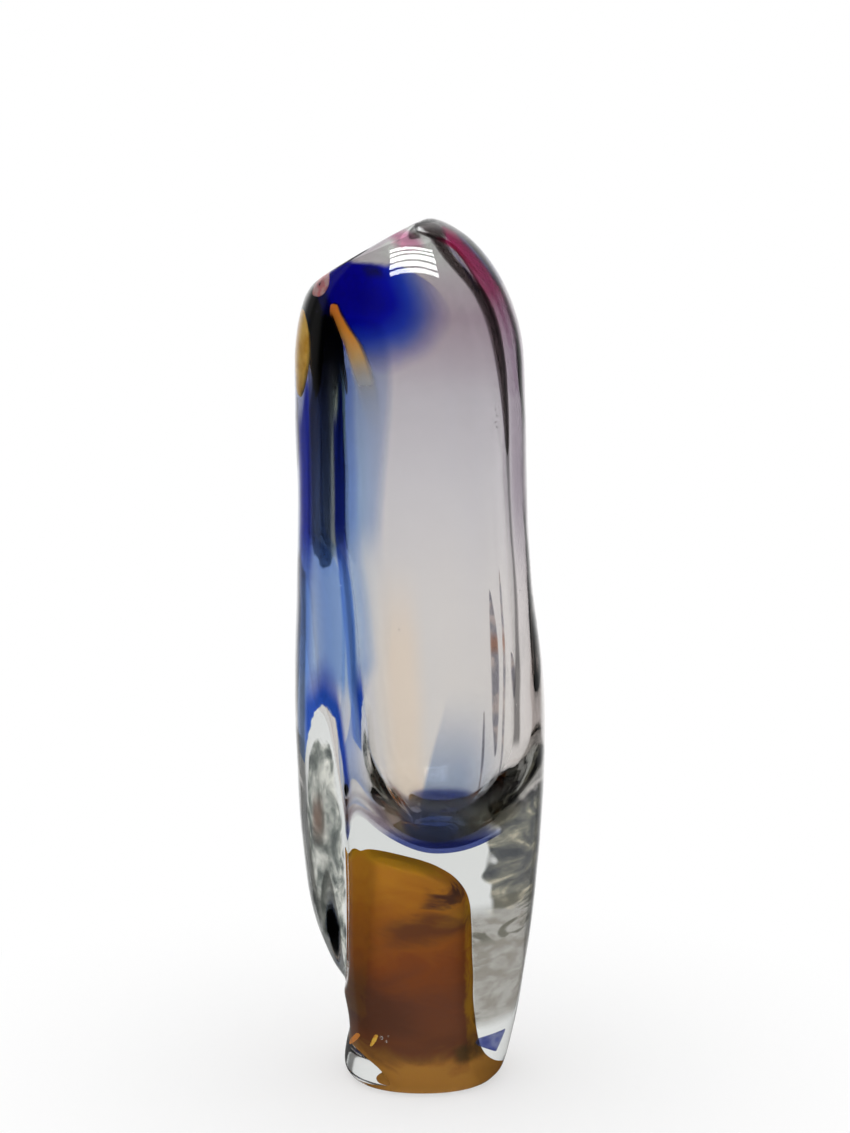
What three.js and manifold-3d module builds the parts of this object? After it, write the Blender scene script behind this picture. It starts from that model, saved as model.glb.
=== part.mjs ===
// A tall, heavy glass vase with colours cased in clear glass.
// Millimetres, +Z up, the viewer looks along +Y, the origin is the middle of the ground foot.
import * as THREE from 'three';
import { mergeVertices } from 'three/addons/utils/BufferGeometryUtils.js';
import Module from 'manifold-3d';

const manifoldLibrary = await Module();
manifoldLibrary.setup();

// Overall form
const height = 280;
const width = 82;
const depth = 70;

// Walls of the clear casing, measured at the middle of the body
const leftWall = 12.5;
const rightWall = 6.2;
const frontWall = 7;
const backWall = 7;

// Chamber: solid glass under it, and how tall its round end is
const chamberFloor = 81;
const chamberEnd = 34;

// Layers that lie on each other from the chamber outwards
const liningWall = 1.4;
const colourWall = 1.6;
const lipReach = 4.5;

// A fold in the lower left side parts a lobe from the body
const foldDepth = 5.2;
const foldWidth = 7.5;
const foldTop = 132;
const foldFoot = 10;
const foldAcrossShare = -0.34;

// Amber block in the solid glass of the foot, open at the ground face
const amberDepth = 24;
const amberFall = 4.5;
const amberTaper = 5;
const amberCorner = 8;
const amberEdge = 1.5;
const amberInset = 7.6;
const amberClear = 0.4;
const chipClear = 2.8;

// Blue chip at the right of the foot
const chipWidth = 5.6;
const chipHeight = 6;
const chipDepth = 7;
const chipInset = 2.4;
const chipBack = 9;

// Space between solids that lie against each other, and how far a cut runs past its work
const gap = 0.3;
const overrun = 3;

// Smoothness of the lofts
const stepsAround = 32;
const ringsOutside = 32;
const ringsInside = 16;
const ringsInEnd = 7;

// How square the ovals are: 2 is an ellipse
const squareness = 2.2;

// The two side rails of the outside, from the ground foot over the lip into the mouth.
// Each row holds shares: left x, left z, right x, right z, front y, back y.
const railShares = [
  [-0.300, 0.000, 0.290, 0.000, 0.335, 0.335],
  [-0.321, 0.011, 0.321, 0.011, 0.364, 0.364],
  [-0.307, 0.054, 0.361, 0.054, 0.386, 0.371],
  [-0.341, 0.111, 0.395, 0.107, 0.414, 0.400],
  [-0.446, 0.200, 0.441, 0.204, 0.457, 0.443],
  [-0.490, 0.293, 0.468, 0.304, 0.486, 0.486],
  [-0.504, 0.375, 0.480, 0.393, 0.500, 0.500],
  [-0.511, 0.464, 0.473, 0.475, 0.500, 0.493],
  [-0.500, 0.582, 0.427, 0.582, 0.471, 0.471],
  [-0.493, 0.689, 0.402, 0.689, 0.457, 0.457],
  [-0.500, 0.786, 0.395, 0.793, 0.450, 0.450],
  [-0.498, 0.857, 0.373, 0.875, 0.443, 0.443],
  [-0.476, 0.896, 0.293, 0.936, 0.414, 0.414],
  [-0.446, 0.919, 0.165, 0.981, 0.357, 0.371],
  [-0.405, 0.930, 0.024, 1.000, 0.293, 0.314],
  [-0.368, 0.926, -0.035, 0.987, 0.250, 0.271],
];
const lipRow = railShares.length - 1;
const crestRow = lipRow - 1;
const footLeft = railShares[0][0] * width;
const footRight = railShares[0][2] * width;

// How the walls change with height: height share, then left, right and front shares of the walls
const wallShares = [
  [0.28, 1.70, 1.45, 1.30],
  [0.44, 1.45, 1.40, 1.20],
  [0.56, 1.20, 1.00, 1.05],
  [0.66, 1.00, 0.95, 1.00],
  [0.80, 1.00, 1.00, 1.00],
  [0.88, 0.85, 1.15, 1.00],
  [0.93, 0.55, 1.15, 0.90],
  [0.96, 0.44, 0.92, 0.80],
];

// The upright line in the middle of the chamber
const chamberMiddleShare = -0.01;

// The mouth leans back a little: the front of each ring is lifted towards the top
const backLean = 0.1;
const leanStart = 0.75;

// Curves through the rails
const leftRail = new THREE.CatmullRomCurve3(
  railShares.map(([x, z, , , front]) => new THREE.Vector3(x * width, front * depth, z * height)),
);
const rightRail = new THREE.CatmullRomCurve3(
  railShares.map(([, , x, z, , back]) => new THREE.Vector3(x * width, back * depth, z * height)),
);
const wallCurve = new THREE.CatmullRomCurve3(
  wallShares.map(([, left, right, front]) => new THREE.Vector3(left, right, front)),
);

// The section of the outside at a place along the rails, as its two ends and its two depths
function outerSection(row) {
  const along = row / lipRow;
  const left = leftRail.getPoint(along);
  const right = rightRail.getPoint(along);
  return {
    left: new THREE.Vector2(left.x, left.z),
    right: new THREE.Vector2(right.x, right.z),
    front: left.y,
    back: right.y,
  };
}

function middleHeight(section) {
  return (section.left.y + section.right.y) / 2;
}

// The place along the rails whose section has a given middle height
function rowAtHeight(z) {
  let low = 0;
  let high = crestRow;
  while (high - low > crestRow * Number.EPSILON) {
    const middle = (low + high) / 2;
    if (middleHeight(outerSection(middle)) < z) {
      low = middle;
    } else {
      high = middle;
    }
  }
  return (low + high) / 2;
}

// The wall shares at a height, read from the table by its height column
function wallsAt(z) {
  const share = z / height;
  const last = wallShares.length - 1;
  let row = wallShares.findIndex(([start]) => start > share) - 1;
  if (share <= wallShares[0][0]) {
    return wallCurve.getPoint(0);
  }
  if (share >= wallShares[last][0]) {
    return wallCurve.getPoint(1);
  }
  row += (share - wallShares[row][0]) / (wallShares[row + 1][0] - wallShares[row][0]);
  return wallCurve.getPoint(row / last);
}

// A section drawn in by the walls, less the thickness of what is laid on the chamber
function innerSection(z, layer) {
  const outer = outerSection(rowAtHeight(z));
  const walls = wallsAt(z);
  const across = outer.right.clone().sub(outer.left).normalize();
  return {
    left: outer.left.clone().addScaledVector(across, leftWall * walls.x - layer),
    right: outer.right.clone().addScaledVector(across, layer - rightWall * walls.y),
    front: outer.front - frontWall * walls.z + layer,
    back: outer.back - backWall * walls.z + layer,
  };
}

function shrunk(section, share) {
  const middle = section.left.clone().add(section.right).multiplyScalar(1 / 2);
  return {
    left: middle.clone().lerp(section.left, share),
    right: middle.clone().lerp(section.right, share),
    front: section.front * share,
    back: section.back * share,
  };
}

// The fold runs straight down the front of the lower left side, so it meets the outline at the waist
function foldAt(angle, middle, half) {
  const rise = (middle.y - foldFoot) / (foldTop - foldFoot);
  if (rise <= 0 || rise >= 1) {
    return 0;
  }
  const across = THREE.MathUtils.clamp((foldAcrossShare * width - middle.x) / half.x, -1, 0);
  const foldAngle = 2 * Math.PI - Math.acos(across);
  const reach = (angle - foldAngle) * half.x / foldWidth;
  return foldDepth * Math.sin(Math.PI * rise) * Math.exp(-2 * reach * reach);
}

// The points of one oval ring
function ringPoints(section, folded) {
  const middle = section.left.clone().add(section.right).multiplyScalar(1 / 2);
  const half = section.right.clone().sub(section.left).multiplyScalar(1 / 2);
  const rise = Math.max(0, middle.y / height - leanStart) / (1 - leanStart);
  const lean = backLean * THREE.MathUtils.smoothstep(rise, 0, 1);
  const points = [];
  for (let step = 0; step < stepsAround; step += 1) {
    const angle = 2 * Math.PI * step / stepsAround;
    const cos = Math.cos(angle);
    const sin = Math.sin(angle);
    const fold = folded ? 1 - foldAt(angle, middle, half) / half.length() : 1;
    const across = Math.sign(cos) * Math.abs(cos) ** (2 / squareness) * fold;
    const along = Math.sign(sin) * Math.abs(sin) ** (2 / squareness) * fold;
    const y = along * (along < 0 ? section.front : section.back);
    points.push(new THREE.Vector3(middle.x + half.x * across, y, middle.y + half.y * across - lean * y));
  }
  return points;
}

// A closed geometry through rings of points, with a fan on its first and last ring.
// The first fan can rise to a given height, which closes a round end.
function loftGeometry(rings, poleHeight = null) {
  const positions = [];
  const indices = [];
  for (const ring of rings) {
    for (const point of ring) {
      positions.push(point.x, point.y, point.z);
    }
  }
  for (let row = 0; row + 1 < rings.length; row += 1) {
    for (let step = 0; step < stepsAround; step += 1) {
      const next = (step + 1) % stepsAround;
      const here = row * stepsAround;
      const above = here + stepsAround;
      indices.push(here + step, here + next, above + next);
      indices.push(here + step, above + next, above + step);
    }
  }
  const ends = [[rings[0], 0, true], [rings[rings.length - 1], (rings.length - 1) * stepsAround, false]];
  for (const [ring, start, first] of ends) {
    const hub = ring.reduce((sum, point) => sum.add(point), new THREE.Vector3()).divideScalar(ring.length);
    hub.z = first ? poleHeight ?? hub.z : hub.z;
    const hubIndex = positions.length / 3;
    positions.push(hub.x, hub.y, hub.z);
    for (let step = 0; step < stepsAround; step += 1) {
      const next = (step + 1) % stepsAround;
      indices.push(hubIndex, start + (first ? next : step), start + (first ? step : next));
    }
  }
  const geometry = new THREE.BufferGeometry();
  geometry.setAttribute('position', new THREE.Float32BufferAttribute(positions, 3));
  geometry.setIndex(indices);
  return geometry;
}

// Geometry to a solid for cutting, and back
function toSolid(geometry) {
  const bare = geometry.clone();
  bare.deleteAttribute('normal');
  bare.deleteAttribute('uv');
  const merged = mergeVertices(bare);
  return new manifoldLibrary.Manifold(new manifoldLibrary.Mesh({
    numProp: 3,
    vertProperties: new Float32Array(merged.attributes.position.array),
    triVerts: new Uint32Array(merged.index.array),
  }));
}

function toGeometry(solid) {
  const mesh = solid.getMesh();
  const geometry = new THREE.BufferGeometry();
  geometry.setAttribute('position', new THREE.BufferAttribute(mesh.vertProperties, 3));
  geometry.setIndex(new THREE.BufferAttribute(mesh.triVerts, 1));
  geometry.computeVertexNormals();
  return geometry;
}

// The chamber as a plug with a round lower end, grown by a layer and cut off at a height
function chamberPlug(layer, top) {
  const endTop = chamberFloor + chamberEnd;
  const rings = [];
  for (let step = 1; step <= ringsInEnd; step += 1) {
    const turn = Math.PI / 2 * step / ringsInEnd;
    const z = endTop - (chamberEnd + layer) * Math.cos(turn);
    rings.push(ringPoints(shrunk(innerSection(z, layer), Math.sin(turn)), false));
  }
  for (let step = 1; step <= ringsInside; step += 1) {
    const z = THREE.MathUtils.lerp(endTop, top, step / ringsInside);
    rings.push(ringPoints(innerSection(z, layer), false));
  }
  return toSolid(loftGeometry(rings, chamberFloor - layer));
}

// The outside with its round lip and a dimple that leads down into the mouth
const lipHeight = middleHeight(outerSection(lipRow));
const liningTop = lipHeight - lipReach;

function outerBody() {
  const rings = [];
  for (let step = 0; step <= ringsOutside; step += 1) {
    rings.push(ringPoints(outerSection(lipRow * step / ringsOutside), true));
  }
  for (const z of [liningTop + lipReach / 2, liningTop, liningTop - overrun]) {
    rings.push(ringPoints(innerSection(z, 0), false));
  }
  return toSolid(loftGeometry(rings));
}

// A closed smooth outline from shares of the width and of the height from the chamber's floor to
// the lining's top, grown by a margin
function outlinePoints(shares, grow) {
  const corners = shares.map(([x, z]) => {
    return new THREE.Vector3(x * width, THREE.MathUtils.lerp(chamberFloor, liningTop, z), 0);
  });
  const curve = new THREE.CatmullRomCurve3(corners, true, 'catmullrom', 0.4);
  const points = curve.getPoints(shares.length * 3).slice(0, -1);
  const turn = Math.sign(THREE.ShapeUtils.area(points));
  return points.map((point, index) => {
    const before = points[(index + points.length - 1) % points.length];
    const after = points[(index + 1) % points.length];
    const along = after.clone().sub(before).normalize();
    return new THREE.Vector2(point.x + along.y * grow * turn, point.y - along.x * grow * turn);
  });
}

// An outline carried outwards from the upright line in the middle of the chamber, then turned about it
function outwardPrism(outline, turn, reach) {
  const shape = new THREE.Shape(outline);
  const geometry = new THREE.ExtrudeGeometry(shape, { depth: depth + reach, bevelEnabled: false });
  geometry.rotateX(Math.PI / 2);
  geometry.translate(0, reach, 0);
  geometry.rotateZ(THREE.MathUtils.degToRad(turn));
  geometry.translate(chamberMiddleShare * width, 0, 0);
  return toSolid(geometry);
}

// Coloured glass laid on the lining. Each outline is drawn as seen from a turn round the chamber
// in degrees, 0 from the front and minus to the left, in shares of the width and the chamber's height.
const colours = [
  {
    name: 'orange_streak', colour: 0xc87828, turn: -35,
    outlineShares: [[-0.105, 0.956], [-0.055, 0.961], [0.000, 0.915], [0.060, 0.853], [0.105, 0.769],
      [0.100, 0.715], [0.030, 0.731], [-0.015, 0.792], [-0.065, 0.876]],
  },
  {
    name: 'salmon_chip', colour: 0xd8938c, turn: -65,
    outlineShares: [[-0.110, 0.941], [-0.080, 1.007], [0.050, 1.022], [0.060, 0.976], [-0.020, 0.946]],
  },
  {
    name: 'ochre_chip', colour: 0xb8922c, turn: -90,
    outlineShares: [[-0.055, 0.900], [0.000, 0.913], [0.058, 0.901], [0.052, 0.830], [0.030, 0.777],
      [-0.010, 0.746], [-0.050, 0.784]],
  },
  {
    name: 'crimson_streak', colour: 0x8c1f45, turn: 90,
    outlineShares: [[-0.130, 1.022], [-0.050, 1.053], [0.050, 1.053], [0.060, 0.946], [0.055, 0.846],
      [0.030, 0.769], [-0.010, 0.761], [-0.030, 0.861], [-0.055, 0.946], [-0.110, 0.984]],
  },
  {
    name: 'dark_band', colour: 0x16181c, turn: -66,
    outlineShares: [[-0.080, 0.916], [0.050, 0.913], [0.080, 0.861], [0.078, 0.661], [0.070, 0.539],
      [0.030, 0.496], [-0.020, 0.508], [-0.075, 0.546], [-0.078, 0.692]],
  },
  {
    name: 'cobalt_patch', colour: 0x0a0e9a, turn: -30,
    outlineShares: [[-0.310, 0.946], [-0.220, 0.981], [-0.100, 1.005], [0.020, 1.015], [0.130, 1.007],
      [0.230, 0.961], [0.232, 0.919], [0.180, 0.892], [0.080, 0.880], [0.000, 0.892], [-0.130, 0.926],
      [-0.280, 0.923]],
  },
  {
    name: 'blue_trail', colour: 0x1c3a98, turn: -75,
    outlineShares: [[-0.150, 0.723], [-0.110, 0.732], [-0.090, 0.631], [-0.085, 0.496], [0.020, 0.471],
      [0.110, 0.477], [0.125, 0.416], [0.120, 0.262], [0.060, 0.178], [-0.070, 0.208], [-0.150, 0.231],
      [-0.170, 0.477]],
  },
  {
    name: 'pale_band', colour: 0x8fa6c8, turn: -30,
    outlineShares: [[-0.118, 0.861], [-0.080, 0.880], [-0.040, 0.812], [0.030, 0.742], [0.072, 0.728],
      [0.074, 0.477], [0.070, 0.231], [0.062, 0.086], [-0.030, 0.078], [-0.095, 0.170], [-0.115, 0.354],
      [-0.118, 0.631]],
  },
  {
    name: 'navy_pool', colour: 0x14204e, turn: 0, reach: depth,
    outlineShares: [[-0.330, 0.070], [-0.190, 0.063], [-0.030, 0.026], [0.130, 0.053], [0.290, 0.078],
      [0.360, -0.060], [0.000, -0.106], [-0.360, -0.060]],
  },
];

function colourPrism(entry, grow) {
  return outwardPrism(outlinePoints(entry.outlineShares, grow), entry.turn, entry.reach ?? 0);
}

// The amber block: a slab with a square left corner, a round right one and softened edges.
// It runs on below the foot, where the ground face cuts it off.
const onLining = liningWall + gap;
const amberTop = chamberFloor - onLining - colourWall - gap - amberClear;

function amberOutline(grow) {
  const left = footLeft + amberInset - grow;
  const right = footRight - chipInset - chipWidth - chipClear + grow;
  const top = amberTop + grow;
  const lowTop = top - amberFall;
  const outline = new THREE.Shape();
  outline.moveTo(left, -2 * overrun);
  outline.lineTo(right - amberTaper, -2 * overrun);
  outline.lineTo(right, lowTop - amberCorner);
  outline.quadraticCurveTo(right, lowTop, right - amberCorner, lowTop);
  outline.lineTo(left + amberEdge, top);
  outline.quadraticCurveTo(left, top, left, top - amberEdge);
  return outline;
}

function amberBlock(grow, foot) {
  const thickness = amberDepth + 2 * grow;
  const geometry = new THREE.ExtrudeGeometry(amberOutline(grow - amberEdge), {
    depth: thickness - 2 * amberEdge,
    bevelEnabled: true,
    bevelThickness: amberEdge,
    bevelSize: amberEdge,
    bevelSegments: 2,
    curveSegments: 5,
  });
  geometry.rotateX(Math.PI / 2);
  geometry.translate(0, thickness / 2 - amberEdge, 0);
  return toSolid(geometry).trimByPlane([0, 0, 1], foot);
}

// The blue chip: half an egg that stands on the ground face
function footChip(grow, foot) {
  const chip = new THREE.SphereGeometry(1 / 2, 16, 10);
  chip.scale(chipWidth + 2 * grow, chipDepth + 2 * grow, 2 * (chipHeight + grow));
  chip.translate(footRight - chipInset - chipWidth / 2, chipBack, 0);
  return toSolid(chip).trimByPlane([0, 0, 1], foot);
}

// Put the vase together, from the chamber outwards
const vase = new THREE.Group();

function addPiece(name, solid, colour, roughness) {
  const material = new THREE.MeshStandardMaterial({ color: colour, roughness, metalness: 0 });
  const mesh = new THREE.Mesh(toGeometry(solid), material);
  mesh.name = name;
  vase.add(mesh);
}

const polished = 0.04;
const cloudy = 0.2;
const colourTop = liningTop - gap;

const lining = chamberPlug(liningWall, colourTop).subtract(chamberPlug(0, liningTop + overrun));
const colourShell = chamberPlug(onLining + colourWall, colourTop).subtract(chamberPlug(onLining, liningTop));
const colourPocket = chamberPlug(onLining + colourWall + gap, liningTop);

let casing = outerBody().subtract(chamberPlug(onLining, liningTop));
let taken = null;
for (const entry of colours) {
  const window = colourPrism(entry, 0);
  const grownWindow = colourPrism(entry, gap);
  const whole = colourShell.intersect(window);
  addPiece(entry.name, taken ? whole.subtract(taken) : whole, entry.colour, cloudy);
  taken = taken ? taken.add(grownWindow) : grownWindow;
  casing = casing.subtract(colourPocket.intersect(grownWindow));
}

casing = casing.subtract(amberBlock(gap, -overrun)).subtract(footChip(gap, -overrun));
addPiece('clear_casing', casing, 0xdfe3e2, polished);
addPiece('lilac_lining', lining, 0xbdb0bb, polished);
addPiece('amber_block', amberBlock(0, 0), 0xa8641e, cloudy);
addPiece('blue_foot_chip', footChip(0, 0), 0x4b58a8, cloudy);

export default vase;
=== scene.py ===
import math
import random

import bmesh
import bpy
from mathutils import Euler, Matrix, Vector, noise


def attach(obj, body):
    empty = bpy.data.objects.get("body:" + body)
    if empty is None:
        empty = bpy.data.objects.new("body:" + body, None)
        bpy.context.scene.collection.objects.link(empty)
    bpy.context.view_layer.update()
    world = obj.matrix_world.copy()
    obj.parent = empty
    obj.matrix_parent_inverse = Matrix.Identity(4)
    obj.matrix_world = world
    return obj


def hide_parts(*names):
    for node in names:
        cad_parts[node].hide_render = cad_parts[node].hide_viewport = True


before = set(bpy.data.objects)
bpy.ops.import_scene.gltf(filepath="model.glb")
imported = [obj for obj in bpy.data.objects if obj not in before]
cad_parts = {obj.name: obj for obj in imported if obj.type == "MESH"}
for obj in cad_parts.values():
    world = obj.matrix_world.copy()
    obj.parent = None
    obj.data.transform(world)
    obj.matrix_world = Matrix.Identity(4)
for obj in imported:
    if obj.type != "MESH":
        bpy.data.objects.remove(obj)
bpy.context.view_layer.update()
scene = bpy.context.scene

# The lilac lining. The first gather of the vase is thin lilac-grey glass, blown into a tall bubble
# with a round lower end. Everything else is laid or gathered over it while it is hot, so it is
# fused inside the clear glass and bends no light there.
height, width, depth = 0.280, 0.082, 0.070
left_wall, right_wall, front_wall, back_wall = 0.0125, 0.0062, 0.007, 0.007
chamber_floor, chamber_end = 0.081, 0.034
lining_wall, lining_skin = 0.0014, 0.00015
lining_over_lip, lining_edge = 0.0006, 0.0004
lining_around, lining_end_rings, lining_wall_rings = 84, 14, 40
lip_tuck, tuck_below, tuck_above = 0.00115, 0.0045, 0.0005
laying_gap = 0.0003
squareness = 2.2
back_lean, lean_start = 0.1, 0.75
fold_depth, fold_width = 0.0052, 0.0075
fold_top, fold_foot, fold_across = 0.132, 0.010, -0.34
fold_sharpness = 2
no_tint = (1.0, 1.0, 1.0)

# Side rails, as shares of width, height and depth: left x, left z, right x, right z, front, back
rail_shares = [
    (-0.300, 0.000, 0.290, 0.000, 0.335, 0.335),
    (-0.321, 0.011, 0.321, 0.011, 0.364, 0.364),
    (-0.307, 0.054, 0.361, 0.054, 0.386, 0.371),
    (-0.341, 0.111, 0.395, 0.107, 0.414, 0.400),
    (-0.446, 0.200, 0.441, 0.204, 0.457, 0.443),
    (-0.490, 0.293, 0.468, 0.304, 0.486, 0.486),
    (-0.504, 0.375, 0.480, 0.393, 0.500, 0.500),
    (-0.511, 0.464, 0.473, 0.475, 0.500, 0.493),
    (-0.500, 0.582, 0.427, 0.582, 0.471, 0.471),
    (-0.493, 0.689, 0.402, 0.689, 0.457, 0.457),
    (-0.500, 0.786, 0.395, 0.793, 0.450, 0.450),
    (-0.498, 0.857, 0.373, 0.875, 0.443, 0.443),
    (-0.476, 0.896, 0.293, 0.936, 0.414, 0.414),
    (-0.446, 0.919, 0.165, 0.981, 0.357, 0.371),
    (-0.405, 0.930, 0.024, 1.000, 0.293, 0.314),
    (-0.368, 0.926, -0.035, 0.987, 0.250, 0.271),
]
# How the walls change with height: height share, left, right and front shares of the walls
wall_shares = [
    (0.28, 1.70, 1.45, 1.30),
    (0.44, 1.45, 1.40, 1.20),
    (0.56, 1.20, 1.00, 1.05),
    (0.66, 1.00, 0.95, 1.00),
    (0.80, 1.00, 1.00, 1.00),
    (0.88, 0.85, 1.15, 1.00),
    (0.93, 0.55, 1.15, 0.90),
    (0.96, 0.44, 0.92, 0.80),
]


def smooth_line(points, share):
    """The point at a share of the way along a smooth line through points, as hot glass draws out."""
    last = len(points) - 1
    start = min(int(share * last), last - 1)
    along = share * last - start
    here, ahead = points[start], points[start + 1]
    before = points[start - 1] if start else here * 2 - ahead
    after = points[start + 2] if start + 2 <= last else ahead * 2 - here
    first, middle, final = (
        math.sqrt((b - a).length) or 1.0
        for a, b in ((before, here), (here, ahead), (ahead, after))
    )
    leave = (here - before) / first - (ahead - before) / (first + middle)
    leave = (leave + (ahead - here) / middle) * middle
    arrive = (ahead - here) / middle - (after - here) / (middle + final)
    arrive = (arrive + (after - ahead) / final) * middle
    bend = (here - ahead) * 2 + leave + arrive
    sweep = (ahead - here) * 3 - leave * 2 - arrive
    return here + (leave + (sweep + bend * along) * along) * along


left_rail = [Vector((r[0] * width, r[4] * depth, r[1] * height)) for r in rail_shares]
right_rail = [Vector((r[2] * width, r[5] * depth, r[3] * height)) for r in rail_shares]
wall_line = [Vector(row[1:]) for row in wall_shares]
crest = 1 - 1 / (len(rail_shares) - 1)


def outer_oval(share):
    """Left end, right end, front and back reach of the outside at a place along the rails."""
    left, right = smooth_line(left_rail, share), smooth_line(right_rail, share)
    return Vector((left.x, left.z)), Vector((right.x, right.z)), left.y, right.y


def walls_at(z):
    """The left, right and front shares of the walls at a height."""
    share = z / height
    if share <= wall_shares[0][0]:
        return wall_line[0]
    for row, (low, high) in enumerate(zip(wall_shares, wall_shares[1:])):
        if share < high[0]:
            inside = (share - low[0]) / (high[0] - low[0])
            return smooth_line(wall_line, (row + inside) / (len(wall_line) - 1))
    return wall_line[-1]


def drawn_in(z):
    """The oval of the chamber at a height, before its lower end is rounded."""
    low, high = 0.0, crest
    while high - low > 1e-9:
        middle = (low + high) / 2
        left, right, _, _ = outer_oval(middle)
        low, high = (middle, high) if (left.y + right.y) / 2 < z else (low, middle)
    left, right, front, back = outer_oval(low)
    walls = walls_at(z)
    across = (right - left).normalized()
    return (
        left + across * left_wall * walls.x,
        right - across * right_wall * walls.y,
        front - front_wall * walls.z,
        back - back_wall * walls.z,
    )


ring_step = 0.001
ring_ovals = [drawn_in(row * ring_step) for row in range(int(height / ring_step))]
lip_height = (left_rail[-1].z + right_rail[-1].z) / 2
lining_top = lip_height + lining_over_lip
round_top = chamber_floor + chamber_end


def soft_step(value, start, end):
    """0 at start and 1 at end, with a soft change between them."""
    share = min(max((value - start) / (end - start), 0.0), 1.0)
    return share * share * (3 - 2 * share)


def shrunk(oval, share):
    """The oval drawn in towards its middle, to a share of its size."""
    left, right, front, back = oval
    middle = (left + right) / 2
    return middle + (left - middle) * share, middle + (right - middle) * share, front * share, back * share


def chamber_oval(z, layer=0.0):
    """The chamber's oval at a height, grown by a layer of glass, with its round lower end."""
    if layer:
        layer += lip_tuck * soft_step(z, lip_height - tuck_below, lip_height + tuck_above)
    place = min(z / ring_step, len(ring_ovals) - 1.001)
    below, above = ring_ovals[int(place)], ring_ovals[int(place) + 1]
    left, right, front, back = (a + (b - a) * (place % 1) for a, b in zip(below, above))
    across = (right - left).normalized() * layer
    fall = min(max(0.0, round_top - z) / (chamber_end + layer), 1.0)
    return shrunk((left - across, right + across, front + layer, back + layer), math.sqrt(1 - fall * fall))


def lean_at(z):
    """How far the mouth leans back at a height, as a slope."""
    return back_lean * soft_step(z / height, lean_start, 1.0)


def fold_at(angle, middle, half):
    """How far the fold at the lower left draws the skin in."""
    rise = (middle.y - fold_foot) / (fold_top - fold_foot)
    if not 0 < rise < 1:
        return 0.0
    across = min(max((fold_across * width - middle.x) / half.x, -1.0), 0.0)
    reach = (angle - 2 * math.pi + math.acos(across)) * half.x / fold_width
    return fold_depth * math.sin(math.pi * rise) * math.exp(-fold_sharpness * reach * reach)


def oval_point(oval, angle, folded=False):
    """A point of an oval: angle 0 is the right end and three quarters of a turn is the front."""
    left, right, front, back = oval
    middle, half = (left + right) / 2, (right - left) / 2
    shape = 2 / squareness
    angle %= 2 * math.pi
    cos, sin = math.cos(angle), math.sin(angle)
    fold = 1 - fold_at(angle, middle, half) / half.length if folded and half.length else 1.0
    across = math.copysign(abs(cos) ** shape, cos) * fold
    y = math.copysign(abs(sin) ** shape, sin) * fold * (front if sin < 0 else back)
    return Vector((middle.x + half.x * across, y, middle.y + half.y * across - lean_at(middle.y) * y))


def ring_place(oval, share, folded=False):
    """A place on a ring that starts and ends at the back, with its turn from the front."""
    at = oval_point(oval, 2 * math.pi * share + math.pi / 2, folded)
    x = at.x - (oval[0].x + oval[1].x) / 2
    if min(share, 1 - share) < 1e-4 or math.hypot(x, at.y) < 1e-6:
        return at, share
    return at, math.atan2(x, -at.y) / (2 * math.pi) + 0.5


def placed(name, shape, smooth=True):
    """The finished piece from a shape that was worked in bmesh."""
    for face in shape.faces:
        face.smooth = smooth
    mesh = bpy.data.meshes.new(name)
    shape.to_mesh(mesh)
    shape.free()
    piece = bpy.data.objects.new(name, mesh)
    scene.collection.objects.link(piece)
    return piece


def blown_mesh(name, rows, around, point):
    """A closed skin. A grid is wrapped round the rows, and its first and last rows close up.
    Its map lay is the place across and along the piece, and its map spot is turn and height."""
    skin = bmesh.new()
    bmesh.ops.create_grid(skin, x_segments=around, y_segments=len(rows) - 1, size=0.5)
    places = {}
    for vert in skin.verts:
        row = rows[round((vert.co.y + 0.5) * (len(rows) - 1))]
        vert.co, lay, turn = point(row, vert.co.x + 0.5)
        places[vert] = lay, (turn, vert.co.z / height)
    maps = [skin.loops.layers.uv.new(map_name) for map_name in ("lay", "spot")]
    for face in skin.faces:
        for loop in face.loops:
            for uv_map, place in zip(maps, places[loop.vert]):
                loop[uv_map].uv = place
    bmesh.ops.remove_doubles(skin, verts=skin.verts, dist=1e-6)
    bmesh.ops.recalc_face_normals(skin, faces=skin.faces)
    piece = placed(name, skin)
    rounding = piece.modifiers.new("fire_polish", "SUBSURF")
    rounding.levels = rounding.render_levels = 1
    return piece


class Value:
    """A number or colour in a recipe for glass. Sums of values write its Math nodes."""

    def __init__(self, recipe, socket):
        self.recipe, self.socket = recipe, socket

    def sum(self, operation, *values):
        return self.recipe.node("Math", {"operation": operation}, dict(enumerate(values)))

    def __add__(self, other):
        return self.sum("ADD", self, other)

    __radd__ = __add__

    def __sub__(self, other):
        return self.sum("SUBTRACT", self, other)

    def __rsub__(self, other):
        return self.sum("SUBTRACT", other, self)

    def __mul__(self, other):
        return self.sum("MULTIPLY", self, other)

    def __truediv__(self, other):
        return self.sum("DIVIDE", self, other)

    def __abs__(self):
        return self.sum("ABSOLUTE", self)

    def most(self, other):
        return self.sum("MAXIMUM", self, other)

    def fade(self, start, end):
        """0 where the value is start and 1 where it is end, with a soft change between them."""
        settings = {"interpolation_type": "SMOOTHSTEP"}
        return self.recipe.node("MapRange", settings, {"Value": self, "From Min": start, "From Max": end})

    def within(self, low, high, soft):
        """1 where the value is between low and high, with soft edges."""
        return self.fade(low - soft, low + soft) * self.fade(high + soft, high - soft)

    def colours(self, stops):
        """A run of colours. Each stop is a place from 0 to 1 and the colour there."""
        return self.recipe.node("ValToRGB", {"stops": stops}, {"Fac": self})


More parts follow.
